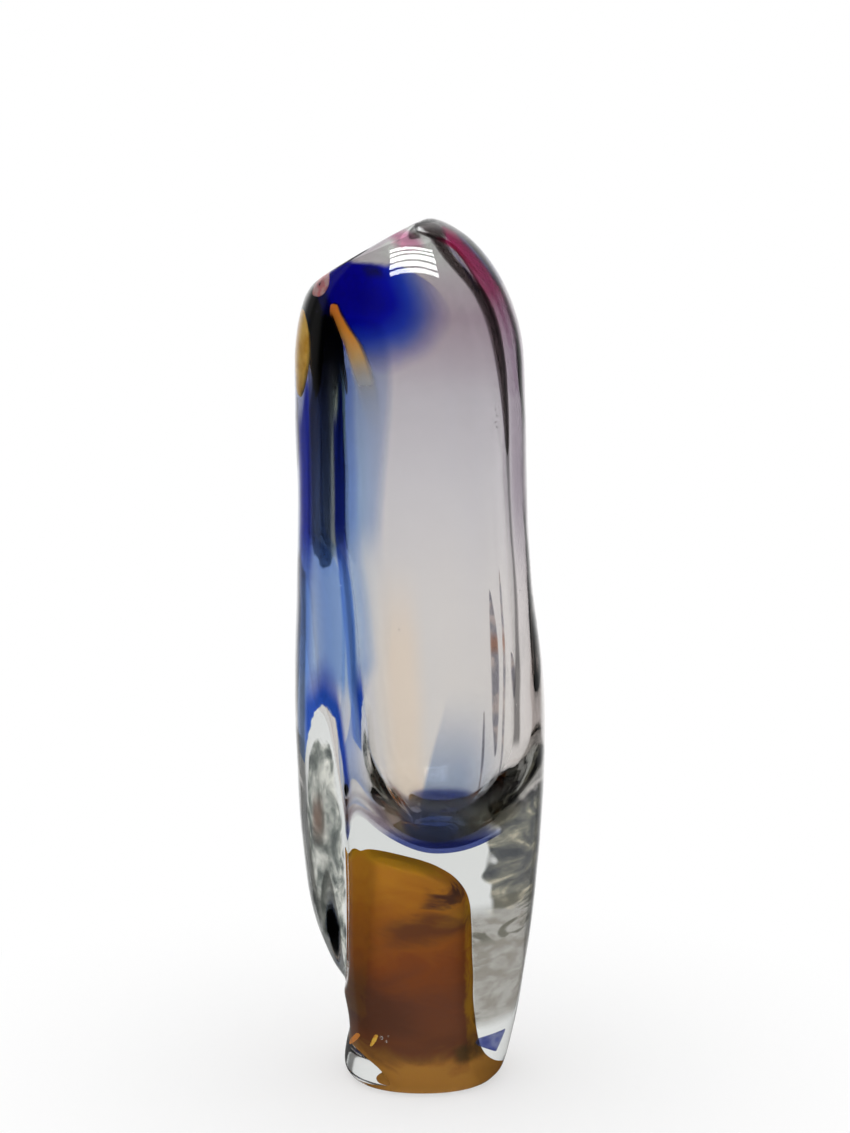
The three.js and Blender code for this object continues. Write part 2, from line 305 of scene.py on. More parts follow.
class Recipe:
    """The nodes of one glass, from its colours to its shader. A room is mixed the same way."""

    def __init__(self, holder):
        self.holder = holder
        holder.use_nodes = True
        self.tree = holder.node_tree
        self.tree.nodes.clear()

    def node(self, kind, settings=None, values=None, out=0):
        made = self.tree.nodes.new("ShaderNode" + kind)
        for name, setting in (settings or {}).items():
            if name == "stops":
                stops = made.color_ramp.elements
                while len(stops) < len(setting):
                    stops.new(1.0)
                for stop, (place, colour) in zip(stops, setting):
                    stop.position, stop.color = place, (*colour, 1.0)
            else:
                setattr(made, name, setting)
        for name, value in (values or {}).items():
            if isinstance(value, Value):
                self.tree.links.new(value.socket, made.inputs[name])
            else:
                made.inputs[name].default_value = value
        return Value(self, made.outputs[out]) if made.outputs else None

    def place(self, axis):
        """The X, Y or Z place on the object, in millimetres."""
        return self.node("SeparateXYZ", values={0: self.node("TexCoord", out="Object")}, out=axis) * 1000

    def lay(self, axis):
        """The place on a laid colour: X from its left to its right edge, Y from its top down."""
        return self.node("SeparateXYZ", values={0: self.node("UVMap", {"uv_map": "lay"})}, out=axis)

    def turn(self):
        """The turn from the front in degrees, minus to the left."""
        spot = self.node("UVMap", {"uv_map": "spot"})
        return (self.node("SeparateXYZ", values={0: spot}, out="X") - 0.5) * 360

    def mix(self, share, first, second):
        """The first colour where share is 0, and the second where it is 1."""
        first, second = (c if isinstance(c, Value) else (*c, 1.0) for c in (first, second))
        return self.node("Mix", {"data_type": "RGBA"}, {0: share, 6: first, 7: second}, out=2)

    def clouds(self, scale, detail=2, stretch=(1, 1, 1), twist=0):
        """Soft clouds about 0.5. A stretch below 1 draws them out along that axis."""
        spot = self.node("TexCoord", out="Object")
        spot = self.node("Mapping", values={"Vector": spot, "Scale": stretch})
        values = {"Vector": spot, "Scale": scale, "Detail": detail, "Distortion": twist}
        return self.node("TexNoise", values=values)

    def finish(self, shader, kind="Material", **more):
        self.node("Output" + kind, values={"Surface": shader, **more})
        return self.holder

    def glass(self, colour, bends=1.0, clear=1.0, shows=1.0, **more):
        """Ends the recipe. bends is the refractive index against what is around the glass, clear the
        share of light that goes through, and shows the share of the piece that is there at all."""
        colour = colour if isinstance(colour, Value) else (*colour, 1.0)
        values = {"Base Color": colour, "IOR": bends, "Roughness": 0.0}
        values |= {"Transmission Weight": clear, "Alpha": shows}
        return self.finish(self.node("BsdfPrincipled", values=values), **more)


def glass_recipe(name):
    return Recipe(bpy.data.materials.new(name))


def up_the_round_end(steps):
    """Heights from the chamber's lowest point up its round end, closest where it is flattest."""
    return [chamber_floor + chamber_end * (1 - math.cos(math.pi / 2 * i / steps)) for i in range(steps)]


heights = up_the_round_end(lining_end_rings)
rise = (lining_top - round_top) / lining_wall_rings
heights += [round_top + rise * i for i in range(lining_wall_rings + 1)]
inside = [(z, lining_skin, 1.0) for z in heights]
outside = [(z - (lining_wall - lining_skin) * max(0.0, round_top - z) / chamber_end, lining_wall, 1.0)
           for z in heights]
inside[0] = (chamber_floor - lining_skin, lining_skin, 0.0)
outside[0] = (chamber_floor - lining_wall, lining_wall, 0.0)
lining_rows = inside + [(lining_top + lining_edge, lining_wall / 2, 1.0)] + outside[::-1]


def lining_place(row, share):
    """A place on the lining: row holds its height, its layer over the chamber and how far it is closed."""
    z, layer, whole = row
    at, turn = ring_place(shrunk(chamber_oval(z, layer), whole), share)
    return at, (share, z / height), turn


lining = blown_mesh("lilac_gather", lining_rows, lining_around, lining_place)
lilac = glass_recipe("lilac_glass")
turn, tall = lilac.turn(), lilac.place("Z")
base = (tall / (height * 1000)).colours([
    (0.3, (0.88, 0.85, 0.835)), (0.57, (0.87, 0.84, 0.84)), (0.7, (0.82, 0.795, 0.815)),
    (0.8, (0.75, 0.72, 0.75)), (0.89, (0.6, 0.53, 0.575)), (0.935, (0.66, 0.62, 0.64)),
    (0.955, (0.69, 0.685, 0.675)),
])
peach = (turn + lilac.clouds(40) * 8 - 4).within(-31, -9, 8) * tall.fade(180, 145)
base = lilac.mix(peach * 0.85, base, (0.97, 0.84, 0.72))
wedge = turn + (123 - tall) * 0.62
haze = wedge.fade(0.5, 4) * turn.fade(52, 12) * tall.fade(138, 104)
base = lilac.mix(haze, base, (0.4, 0.47, 0.62))
side = turn.within(66, 94, 3) * tall.fade(160, 200)
base = lilac.mix(side * 0.8, base, (0.62, 0.57, 0.62))
lining.data.materials.append(lilac.glass(base))
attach(lining, "root")
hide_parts("lilac_lining")

# Colours laid on the lining: pulled strips and chips of coloured glass, pressed on hot and marvered
# in, so each is thick in the middle and thin at its edges, and follows the lining's curve.
colour_wall = 0.0016
on_lining = lining_wall + laying_gap
trail_layer, upper_layer = on_lining + 0.0003, on_lining + 0.0008
height_search, search_steps, end_taper = 0.03, 18, 8


def point_on(oval_of, low, high, z, turn, folded=False):
    """The point of a skin at a true height and a turn in degrees, 0 from the front, minus to the left."""
    away = Vector((math.sin(math.radians(turn)), -math.cos(math.radians(turn))))
    for _ in range(search_steps):
        level = (low + high) / 2
        left, right, front, back = oval_of(level)
        middle, half = (left + right) / 2, (right - left) / 2
        half_x, deep = max(half.x, 1e-6), max(front if away.y < 0 else back, 1e-6)
        across, along = abs(away.x / half_x) ** squareness, abs(away.y / deep) ** squareness
        reach = (across + along) ** (-1 / squareness)
        if folded:
            angle = 2 * math.pi - math.atan2(math.sqrt(along), math.copysign(math.sqrt(across), away.x))
            reach *= 1 - fold_at(angle, middle, half) / half.length
        x, y = away.x * reach, away.y * reach
        true = middle.y + half.y * x / half_x - lean_at(middle.y) * y
        low, high = (level, high) if true < z else (low, level)
    return Vector((middle.x + x, y, true))


def on_chamber(z, turn, layer):
    """A place on the chamber's wall, raised by a layer of glass."""
    low, high = z - height_search, z + height_search
    return point_on(lambda level: chamber_oval(level, layer), low, high, z, turn)


def laid_colour(name, edges, rows=40, around=28, thick=colour_wall, layer=on_lining, skin=on_chamber):
    """A strip of colour. edges gives height in mm, left turn and right turn, from the top down."""
    line = [Vector(edge) for edge in edges]

    def place(row, share):
        z, left, right = smooth_line(line, row)
        over = share < 0.5
        across = (1 - math.cos(2 * math.pi * share)) / 2
        end = min(1.0, end_taper * row, end_taper * (1 - row))
        swell = thick * math.sqrt(abs(math.sin(2 * math.pi * share))) * math.sin(math.pi / 2 * end)
        if row in (0.0, 1.0):
            left = right = (left + right) / 2
        turn = left + (right - left) * across
        return skin(z / 1000, turn, layer + (swell if over else 0.0)), (across, row), turn / 360 + 0.5

    return blown_mesh(name, [i / rows for i in range(rows + 1)], around, place)


def laid_on(piece, node, material):
    """Gives a piece its glass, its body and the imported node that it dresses."""
    piece.data.materials.append(material)
    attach(piece, "root")
    if node:
        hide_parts(node)


# The cobalt patch: a pressed pad of dense blue glass across the shoulder. It was drawn out thin to
# the right, where it fades to nothing, and a dark smear lies in its upper edge.
cobalt = laid_colour("cobalt_patch_glass", [
    (268, -36, -8), (266.5, -44, 4), (263, -55, 16), (259, -78, 24), (254, -90, 28), (249, -92, 28),
    (245, -80, 26), (241, -50, 22), (237, -36, 14), (232, -24, -2),
])
blue = glass_recipe("cobalt_glass")
turn, tall = blue.turn(), blue.place("Z")
ragged = blue.clouds(110, 3, twist=0.4) - 0.5
right = (turn + 28 + ragged * 5).most(0.0) / 58
down = (258 - tall + ragged * 3).most(0.0) / 25
shade = (right * right + down * down).colours([
    (0.0, (0.005, 0.003, 0.5)), (0.14, (0.003, 0.008, 0.8)), (0.3, (0.03, 0.1, 0.9)),
    (0.44, (0.16, 0.27, 0.86)), (0.62, (0.46, 0.5, 0.82)), (0.82, (0.8, 0.8, 0.92)), (1.0, no_tint),
])
shade = blue.mix(turn.fade(-50, -75) * 0.7, shade, (0.012, 0.014, 0.42))
upper_edge = tall + ragged * 3 - turn.fade(5, -30) * 1.5
shade = blue.mix(upper_edge.fade(264.5, 266.5), shade, no_tint)
smear = turn.within(-18, -6, 4) * (tall + ragged * 4).within(262.5, 265.5, 1.5)
shade = blue.mix(smear * 0.7, shade, (0.02, 0.02, 0.03))
laid_on(cobalt, "cobalt_patch", blue.glass(shade))

# The dark band: near-black glass pulled down the left side from the shoulder. It is slate-coloured
# where it thins, and its lower end is torn.
dark = laid_colour("dark_band_glass", [
    (259, -66, -58), (255, -74, -50), (250, -77, -48.5), (242, -79, -48), (233, -80, -52), (224, -82, -57),
    (215, -83, -60), (200, -85, -62), (185, -85, -62.5), (177, -84, -63), (172, -79, -64), (168, -71, -66),
], rows=56)
slate = glass_recipe("dark_glass")
turn, tall = slate.turn(), slate.place("Z")
shade = ((tall - 170) / 90).colours([
    (0.0, (0.52, 0.57, 0.64)), (0.58, (0.42, 0.46, 0.54)), (0.8, (0.2, 0.21, 0.26)),
])
torn = (slate.clouds(230, 3) - 0.5) * 7 - abs(turn + 65) * 0.35
shade = slate.mix(tall.fade(249, 253), shade, (0.3, 0.34, 0.75))
shade = slate.mix((tall + torn).fade(173.0, 172.2), shade, (0.92, 0.95, 1.0))
laid_on(dark, "dark_band", slate.glass(shade))

# The blue trail: transparent blue glass trailed on under the dark band and round the left side. It
# is strongest down the middle and ends raggedly above the fold.
trail = laid_colour("blue_trail_glass", [
    (232, -112, -84), (226, -122, -83), (214, -130, -83), (196, -135, -83), (182, -138, -80),
    (176, -140, -62), (170, -140, -56.5), (160, -140, -55), (148, -140, -55), (138, -138, -56),
    (130, -132, -57), (124, -122, -58), (118, -100, -60), (114, -76, -66),
], rows=64, around=36, layer=trail_layer)
sea = glass_recipe("blue_glass")
turn, tall = sea.turn(), sea.place("Z")
streaks = (sea.clouds(70, 3, (1, 1, 0.15)) - 0.5) * 12
shade = ((turn + streaks * 0.6 + 140) / 90).colours([
    (0.22, (0.98, 0.99, 1.0)), (0.38, (0.66, 0.76, 0.96)), (0.5, (0.52, 0.66, 0.94)),
    (0.6, (0.5, 0.66, 0.95)), (0.9, (0.6, 0.75, 0.98)),
])
edge = ((turn + 140) / 90).colours([
    (0.28, no_tint), (0.4, (0.62, 0.7, 0.94)), (0.7, (0.56, 0.66, 0.92)),
])
shade = sea.mix(tall.fade(176, 190), shade, edge)
torn = (sea.clouds(170, 4) - 0.5) * 4
shade = sea.mix((tall + torn).fade(136, 127), shade, no_tint)
laid_on(trail, "blue_trail", sea.glass(shade))

# The pale band: a broad strip of milky blue glass, pulled down the left front. It is strongest near
# the shoulder and thinnest half way down, and it thins to nothing at its right edge.
pale = laid_colour("pale_band_glass", [
    (250, -50, -20), (246, -51, -16), (240, -52, -15), (232, -53, -16), (215, -56, -19), (200, -57, -22),
    (184, -58, -24.5), (170, -57, -27), (156, -57, -30), (142, -58, -32.5), (130, -60, -34.5),
    (120, -64, -37), (111, -66, -42), (103, -68, -47), (96, -66, -54), (93, -62, -58),
], rows=64, around=32)
milky = glass_recipe("pale_blue_glass")
across, tall = milky.lay("X"), milky.place("Z")
waver = (milky.clouds(60, 2, (1, 1, 0.2)) - 0.5) * 0.16
shade = (across + waver).colours([
    (0.0, (0.46, 0.64, 0.94)), (0.22, (0.42, 0.62, 0.96)), (0.5, (0.46, 0.64, 0.92)),
    (0.78, (0.56, 0.68, 0.9)), (0.88, (0.74, 0.8, 0.92)), (0.99, no_tint),
])
top = (across + waver).colours([
    (0.0, (0.2, 0.36, 0.8)), (0.35, (0.4, 0.54, 0.8)), (0.85, (0.62, 0.7, 0.86)), (0.99, no_tint),
])
shade = milky.mix(tall.fade(190, 235), shade, top)
thin = (across + waver).colours([
    (0.0, (0.74, 0.85, 0.98)), (0.5, (0.84, 0.92, 0.99)), (0.99, no_tint),
])
shade = milky.mix(tall.fade(190, 172), shade, thin)
low = (across + waver).colours([
    (0.0, (0.5, 0.62, 0.92)), (0.3, (0.8, 0.86, 0.97)), (0.6, (0.94, 0.96, 0.99)), (0.99, no_tint),
])
shade = milky.mix(tall.fade(138, 118), shade, low)
laid_on(pale, "pale_band", milky.glass(shade))

# The orange streak: opaque orange glass laid over the cobalt's lower edge. It starts strong and
# thins to beige wisps as it was drawn down, so it shows less and less.
orange = laid_colour("orange_streak_glass", [
    (254.5, -49, -43), (251, -51, -40), (247, -50, -37), (242, -46, -31), (236, -44, -26), (229, -42, -22),
    (220, -38, -20), (211, -33, -21),
], rows=36, layer=upper_layer)
amber_line = glass_recipe("orange_glass")
across, tall = amber_line.lay("X"), amber_line.place("Z")
wisps = (amber_line.clouds(150, 3, (1, 1, 0.4)) - 0.5) * 0.5
shade = ((255 - tall) / 44 + wisps * 0.3).colours([
    (0.02, (0.45, 0.12, 0.02)), (0.2, (0.62, 0.23, 0.03)), (0.38, (0.62, 0.38, 0.13)),
    (0.5, (0.5, 0.44, 0.35)), (0.66, (0.42, 0.42, 0.45)),
])
core = (abs(across - 0.5) + wisps * 0.25 + tall.fade(250, 225) * 0.1).fade(0.46, 0.26)
thins = (tall + wisps * 8).fade(212, 249) * 0.95
laid_on(orange, "orange_streak", amber_line.glass(shade, clear=0.0, shows=core * thins))

# The ochre chip: a crushed piece of nearly opaque yellow glass, picked up at the left edge and
# pointed below.
ochre = laid_colour("ochre_chip_glass", [
    (251, -88, -80), (248, -94, -76), (243, -98, -74), (238, -98, -74.5), (232, -97, -80), (227, -96, -86),
    (224, -94, -91),
], rows=24, around=24, layer=upper_layer)
yellow = glass_recipe("ochre_glass")
shade = yellow.mix(yellow.clouds(160, 3).fade(0.35, 0.65), (0.6, 0.3, 0.03), (0.8, 0.48, 0.09))
laid_on(ochre, "ochre_chip", yellow.glass(shade, clear=0.15))

# The salmon chip: a crushed piece of cloudy pink glass with dark specks, picked up at the left
# shoulder by the lip.
salmon = laid_colour("salmon_chip_glass", [
    (265, -53, -46), (262.5, -60, -45), (259.5, -66, -47), (257, -67, -52), (255.5, -64, -58),
], rows=20, around=24, layer=upper_layer)
pink = glass_recipe("salmon_glass")
grain = pink.clouds(260, 3)
shade = pink.mix(grain.fade(0.4, 0.6), (0.95, 0.3, 0.3), (1.0, 0.62, 0.56))
shade = pink.mix(grain.fade(0.36, 0.3), shade, (0.05, 0.03, 0.06))
laid_on(salmon, "salmon_chip", pink.glass(shade, clear=0.5))

# The crimson streak: ruby glass laid on at the upper right under the lip. It thins to mauve as it
# runs down the right side.
crimson = laid_colour("crimson_streak_glass", [
    (277, 54, 68), (272, 49, 67), (268.5, 51, 68), (265, 54, 70), (261, 58, 73), (257, 62, 78), (252, 63, 80),
    (245, 64, 81), (236, 66, 82), (224, 70, 84),
], rows=40, layer=upper_layer)
ruby = glass_recipe("crimson_glass")
across, tall = ruby.lay("X"), ruby.place("Z")
shade = ((277 - tall) / 53).colours([
    (0.05, (0.62, 0.05, 0.2)), (0.36, (0.6, 0.14, 0.28)), (0.47, (0.74, 0.48, 0.6)),
    (0.72, (0.9, 0.86, 0.9)),
])
shade = ruby.mix(abs(across - 0.5).fade(0.4, 0.5), shade, (0.9, 0.8, 0.88))
laid_on(crimson, "crimson_streak", ruby.glass(shade))

# A painted dark line beside the crimson: an olive-black strip that stands in for the shade where the
# chamber's right wall reflects the dim room inside the glass. It is thick at the lip and thin down the right
# of the chamber.
dark_line_piece = laid_colour("painted_dark_line", [
    (278, 41, 62), (275.5, 39, 58), (273, 38, 50), (270.5, 38, 48), (267, 39, 48), (264, 41, 51),
    (260.5, 44, 54), (256.5, 47, 58), (249, 49.5, 60), (241, 51, 60), (232, 53, 60.5), (220, 55.5, 60.5),
    (206, 58, 61),
], rows=52, around=20)
olive = glass_recipe("painted_dark_line_glass")
across = olive.lay("X")
# Painted shade: the olive-black middle is the dark line of internal reflection, and it is pale at its sides.
shade = olive.mix(abs(across - 0.5).fade(0.36, 0.5), (0.11, 0.09, 0.09), (0.85, 0.83, 0.86))
laid_on(dark_line_piece, None, olive.glass(shade))

# The rose blush: a thin wash of pink glass beside the start of the thread. It was melted in flat,
# so it is soft all round.
rose = laid_colour("rose_blush", [
    (277, 20, 30), (275, 12, 34), (272, 9, 34), (269.5, 12, 28),
], rows=20, around=20)
blush = glass_recipe("rose_glass")
middle = abs(blush.lay("X") - 0.5).most(abs(blush.lay("Y") - 0.5)).fade(0.12, 0.5)
laid_on(rose, None, blush.glass(blush.mix(middle, (0.84, 0.4, 0.58), no_tint)))

# The shoulder blue: a little grey-blue glass under the outermost right shoulder, melted in flat and
# soft at its sides.
shoulder = laid_colour("shoulder_blue", [
    (274, 80, 92), (271, 76, 96), (267, 78, 98), (262, 82, 98), (257, 86, 96),
], rows=24, around=20)
dusk = glass_recipe("dusk_glass")
shade = dusk.mix(abs(dusk.lay("X") - 0.5).fade(0.25, 0.5), (0.32, 0.36, 0.58), no_tint)
laid_on(shoulder, None, dusk.glass(shade))

# The navy pool: dark glass that ran down and gathered as a cup round the chamber's lower end. It is
# navy in front with a straw-coloured streak, olive to the right, and its rim fades away.
pool_reach, pool_rows, pool_around = 0.76, 18, 60


def pool_place(row, share):
    """A place on the pool: row holds how far up it is, and whether it is on the outer skin."""
    part, over = row
    layer = on_lining + (colour_wall * math.sqrt(max(0.0, 1 - part * part)) if over else 0.0)
    z = round_top - (chamber_end + layer) * math.cos(math.pi / 2 * part * pool_reach)
    at, turn = ring_place(chamber_oval(z, layer), share)
    return at, (share, part), turn


skins = [(i / pool_rows, True) for i in range(pool_rows + 1)]
skins += [(part, False) for part, _ in reversed(skins)]
pool = blown_mesh("navy_pool_glass", skins, pool_around, pool_place)
navy = glass_recipe("navy_glass")
turn, tall = navy.turn(), navy.place("Z")
swirl = navy.clouds(70, 3, (1, 1, 0.4), 0.6) - 0.5
shade = ((turn + swirl * 13 + 90) / 180).colours([
    (0.05, (0.48, 0.44, 0.5)), (0.16, (0.36, 0.3, 0.36)), (0.24, (0.34, 0.28, 0.34)),
    (0.27, (1.0, 0.9, 0.7)), (0.31, (0.9, 0.8, 0.64)), (0.34, (0.3, 0.37, 0.62)),
    (0.52, (0.28, 0.36, 0.62)), (0.59, (0.42, 0.45, 0.5)), (0.67, (0.62, 0.62, 0.52)),
    (0.8, (0.74, 0.74, 0.66)), (0.95, (0.9, 0.9, 0.87)),
])
under = tall.fade(90, 80)
shade = navy.mix(under * 0.85, shade, (0.3, 0.33, 0.58))
rim = (tall + swirl * 16 - abs(turn) * 0.05).fade(88, 100)
rim = rim.most(abs(turn).fade(66, 96) * tall.fade(81.5, 87))
shade = navy.mix(rim, shade, (0.97, 0.96, 0.96))
shade = navy.mix(tall.fade(85, 83), shade, (0.1, 0.13, 0.38))
laid_on(pool, "navy_pool", navy.glass(shade, clear=0.9, shows=1 - rim))

# Ripples in the chamber's wall at the lower right: long thin lenses of darker glass, left where the
# blown wall folded a little. The longest has a rusty speck in it.
ripple_wall = 0.0008
ripples = {
    "ripple_long": [
        (166, 39.4, 40.2), (152, 36.8, 42.0), (140, 35.6, 41.4), (125, 35.0, 39.6), (112, 36.0, 36.8),
    ],
    "ripple_short": [(145, 51.0, 51.8), (138, 50.0, 53.4), (130, 51.2, 51.8)],
    "ripple_right": [(172, 47.6, 48.2), (150, 45.4, 46.8), (128, 42.6, 44.0), (104, 39.5, 40.2)],
    "ripple_low": [(128, 29.8, 30.4), (115, 27.6, 29.2), (101, 26.0, 26.8)],
}
smoke = glass_recipe("ripple_glass")
tall = smoke.place("Z")
shade = smoke.mix(smoke.clouds(200, 3).fade(0.45, 0.62), (0.34, 0.34, 0.38), (0.62, 0.56, 0.54))
shade = smoke.mix(tall.within(146, 151, 2) * 0.7, shade, (0.46, 0.22, 0.12))
shade = smoke.mix(abs(smoke.lay("X") - 0.5).fade(0.34, 0.5), shade, (0.95, 0.94, 0.95))
ripple_glass = smoke.glass(shade)
for name, edges in ripples.items():
    ripple = laid_colour(name, edges, rows=36, around=16, thick=ripple_wall)
    laid_on(ripple, None, ripple_glass)

# The amber block in the solid foot, cut off by the ground face: a thick slab of cloudy amber, with
# an ochre rim where it is thin and brown smoke inside. Its rails are in millimetres: left x, left z,
# right x, right z and half its depth.
amber_rails = [
    (-8.5, 0.3, 15.4, 0.3, 10.5), (-10.0, 2.0, 15.2, 2.0, 11.0), (-12.4, 6.0, 13.2, 6.0, 11.6),
    (-14.0, 13.0, 12.3, 11.0, 12.0), (-14.8, 22.0, 12.0, 20.0, 12.0), (-14.9, 32.0, 11.8, 32.0, 12.0),
    (-14.9, 45.0, 11.4, 45.0, 12.0), (-14.9, 60.0, 11.2, 54.0, 12.0), (-14.9, 71.0, 10.8, 60.5, 12.0),
    (-14.9, 76.0, 9.6, 65.0, 12.0), (-14.7, 77.4, 7.4, 68.8, 11.8), (-13.9, 78.0, 3.6, 72.0, 10.4),
    (-12.0, 78.0, 0.0, 74.2, 7.0),
]
amber_ends = [Vector(row[:4]) for row in amber_rails]
amber_deep = [Vector((row[4], 0, 0)) for row in amber_rails]
amber_squareness, amber_rings, amber_around = 5.0, 44, 64
foot_closing, top_closing = (0.0, 0.5, 0.9), (0.7, 0.35, 0.0)


def amber_place(row, share):
    """A place on the slab: row holds how far along the rails it is, and how far it is closed."""
    along, whole = row
    left_x, left_z, right_x, right_z = smooth_line(amber_ends, along) / 1000
    deep = smooth_line(amber_deep, along).x / 1000
    angle = 2 * math.pi * share + math.pi / 2
    cos, sin = math.cos(angle), math.sin(angle)
    across = math.copysign(abs(cos) ** (2 / amber_squareness), cos) * whole
    y = math.copysign(abs(sin) ** (2 / amber_squareness), sin) * whole * deep
    middle_x, middle_z = (left_x + right_x) / 2, (left_z + right_z) / 2
    x, z = middle_x + (right_x - left_x) / 2 * across, middle_z + (right_z - left_z) / 2 * across
    return Vector((x, y, z)), (share, along), share


slab_rows = [(0.0, whole) for whole in foot_closing]
slab_rows += [(i / amber_rings, 1.0) for i in range(amber_rings + 1)]
slab_rows += [(1.0, whole) for whole in top_closing]
amber = blown_mesh("amber_slab", slab_rows, amber_around, amber_place)
honey = glass_recipe("amber_glass")
x, z = honey.place("X"), honey.place("Z")
smoke = honey.clouds(42, 5, (1, 1, 2.2), 1.6) - 0.5
fine = honey.clouds(130, 4, (0.8, 0.8, 1.6), 1) - 0.5
shade = (z / 77 + smoke * 0.3).colours([
    (0.06, (0.52, 0.24, 0.05)), (0.17, (0.22, 0.075, 0.03)), (0.34, (0.2, 0.07, 0.035)),
    (0.55, (0.3, 0.085, 0.024)), (0.75, (0.44, 0.145, 0.022)), (0.95, (0.62, 0.25, 0.028)),
])
cloud = (x + fine * 6).within(1, 11, 3) * (z + smoke * 12 + fine * 5).within(63, 67, 1.5)
band = (x + smoke * 20).fade(-15, -4) * (z + smoke * 10 + fine * 3 - x * 0.15).within(51, 59, 3)
corner = (x + z * 0.6 + smoke * 18).fade(20, 4) * z.within(16, 38, 5)
lower = (z + smoke * 14 - x * 0.2).within(8, 17, 3)
dark_part = cloud.most(band * 0.75).most(corner * 0.7).most(lower * 0.5)
shade = honey.mix(dark_part, shade, (0.11, 0.047, 0.030))
glow = (x + smoke * 14).fade(2, 12) * (z + smoke * 8).within(57, 62, 3) * 0.6
shade = honey.mix(glow, shade, (0.6, 0.27, 0.03))
rim = (x + fine * 2).fade(-14.3, -14.9) * 0.1
rim = rim.most((x + z * 0.02 + fine * 2).fade(11.7, 12.5) * 0.7)
rim = rim.most((z + x * 0.24 + fine * 4).fade(71.0, 75.0)) * z.fade(10, 24)
shade = honey.mix(rim * 0.85, shade, (0.62, 0.32, 0.015))
blob = (x + fine * 3).within(9, 13, 1.5) * (z + fine * 4).within(8, 14, 1.5)
shade = honey.mix(blob * 0.85, shade, (0.075, 0.05, 0.02))
laid_on(amber, "amber_block", honey.glass(shade, clear=0.3))

# The blue chip at the right of the foot: a crushed piece of clear blue glass, mottled inside. The
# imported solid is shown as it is.
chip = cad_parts["blue_foot_chip"]
periwinkle = glass_recipe("foot_blue_glass")
grain = periwinkle.clouds(260).fade(0.35, 0.65)
shade = periwinkle.mix(grain, (0.07, 0.09, 0.34), (0.34, 0.37, 0.58))
chip.data.materials.clear()
chip.data.materials.append(periwinkle.glass(shade, clear=0.8))

# Another sliver of the same blue, caught nearer the skin at the right of the foot. It is a crushed
# block that narrows to the left, with its edges melted round.
sliver_size, sliver_at = (0.0066, 0.0026, 0.0078), (0.0176, -0.0070, 0.0152)
sliver_point, sliver_drop, melted_edge = 0.25, 0.0012, 0.0005
sliver_tilt = Euler((0.2, 0.35, 0.5))
sliver = bmesh.new()
bmesh.ops.create_cube(sliver, size=1.0)
bmesh.ops.scale(sliver, vec=sliver_size, verts=sliver.verts)
point = [vert for vert in sliver.verts if vert.co.x < 0]
bmesh.ops.scale(sliver, vec=(1.0, 1.0, sliver_point), verts=point)
bmesh.ops.translate(sliver, verts=point, vec=(0.0, 0.0, -sliver_drop))
bmesh.ops.bevel(
    sliver, geom=sliver.edges[:], offset=melted_edge, offset_type="OFFSET", affect="EDGES", segments=2,
    profile=0.5, material=-1,
)
bmesh.ops.rotate(sliver, verts=sliver.verts, matrix=sliver_tilt.to_matrix())
bmesh.ops.translate(sliver, verts=sliver.verts, vec=sliver_at)
laid_on(placed("blue_sliver", sliver, smooth=False), None, chip.data.materials[0])

# The clear casing: the last and heaviest gather, drawn up past the chamber to the slanting mouth,
# folded at the lower left, fire-polished at the lip and ground flat under the foot.
outside_rows, inside_rows, end_rows, casing_around = 120, 46, 18, 120
foot_rings = (0.0, 0.45, 0.85, 0.97)
lip_roll = 0.00225
waver_depth, slow_waver, quick_waver = 0.00018, 45.0, 110.0
calm_foot, calm_lip_from, calm_lip = 0.02, 0.235, 0.262
casing_rows = [("foot", share) for share in foot_rings]
casing_rows += [("out", i / outside_rows) for i in range(outside_rows + 1)]
lip_end = lip_height - lip_roll
casing_rows += [("in", lip_end + (round_top - lip_end) * i / inside_rows) for i in range(inside_rows)]
casing_rows += [("in", z) for z in reversed(up_the_round_end(end_rows) + [round_top])]


def waver_at(at):
    """Hand-worked glass is never quite even: the skin has a slow waver, calm at the foot and the lip."""
    calm = soft_step(at.z, 0.0, calm_foot) * soft_step(at.z, calm_lip, calm_lip_from)
    return calm * (noise.noise(at * slow_waver) + 0.5 * noise.noise(at * quick_waver)) * waver_depth


def casing_place(row, share):
    """A place on the casing: row says whether it is under the foot, outside or in the chamber."""
    kind, value = row
    if kind == "foot":
        at, turn = ring_place(shrunk(outer_oval(0.0), value), share)
    elif kind == "out":
        at, turn = ring_place(outer_oval(value), share, True)
        at += Vector((at.x, at.y, 0.0)).normalized() * waver_at(at)
    else:
        at, turn = ring_place(chamber_oval(value), share)
    return at, (share, at.z / height), turn


casing = blown_mesh("clear_gather", casing_rows, casing_around, casing_place)
clear = glass_recipe("clear_glass")
body_tint, tint_per_metre = (0.42, 0.45, 0.43, 1.0), 8.0
absorb = clear.node("VolumeAbsorption", values={"Color": body_tint, "Density": tint_per_metre})
laid_on(casing, "clear_casing", clear.glass((0.97, 0.98, 0.972), bends=1.5, Volume=absorb))

# A painted reflection in the lobe that the fold parts off at the left: a veil between the casing's last
# two gathers, whose mottled grey stands in for the dim room reflected inside the glass there. It has a rusty
# core.
veil_wall, veil_layer, deep_veil_layer, blue_layer = 0.0006, 0.0026, 0.0028, 0.0015


def under_skin(z, turn, layer):
    """A place in the casing, a layer of glass below its outer skin."""

    def oval_of(share):
        left, right, front, back = outer_oval(share)
        across = (right - left).normalized() * layer
        return left + across, right - across, front - layer, back - layer

    return point_on(oval_of, 0.0, crest, z, turn, True)


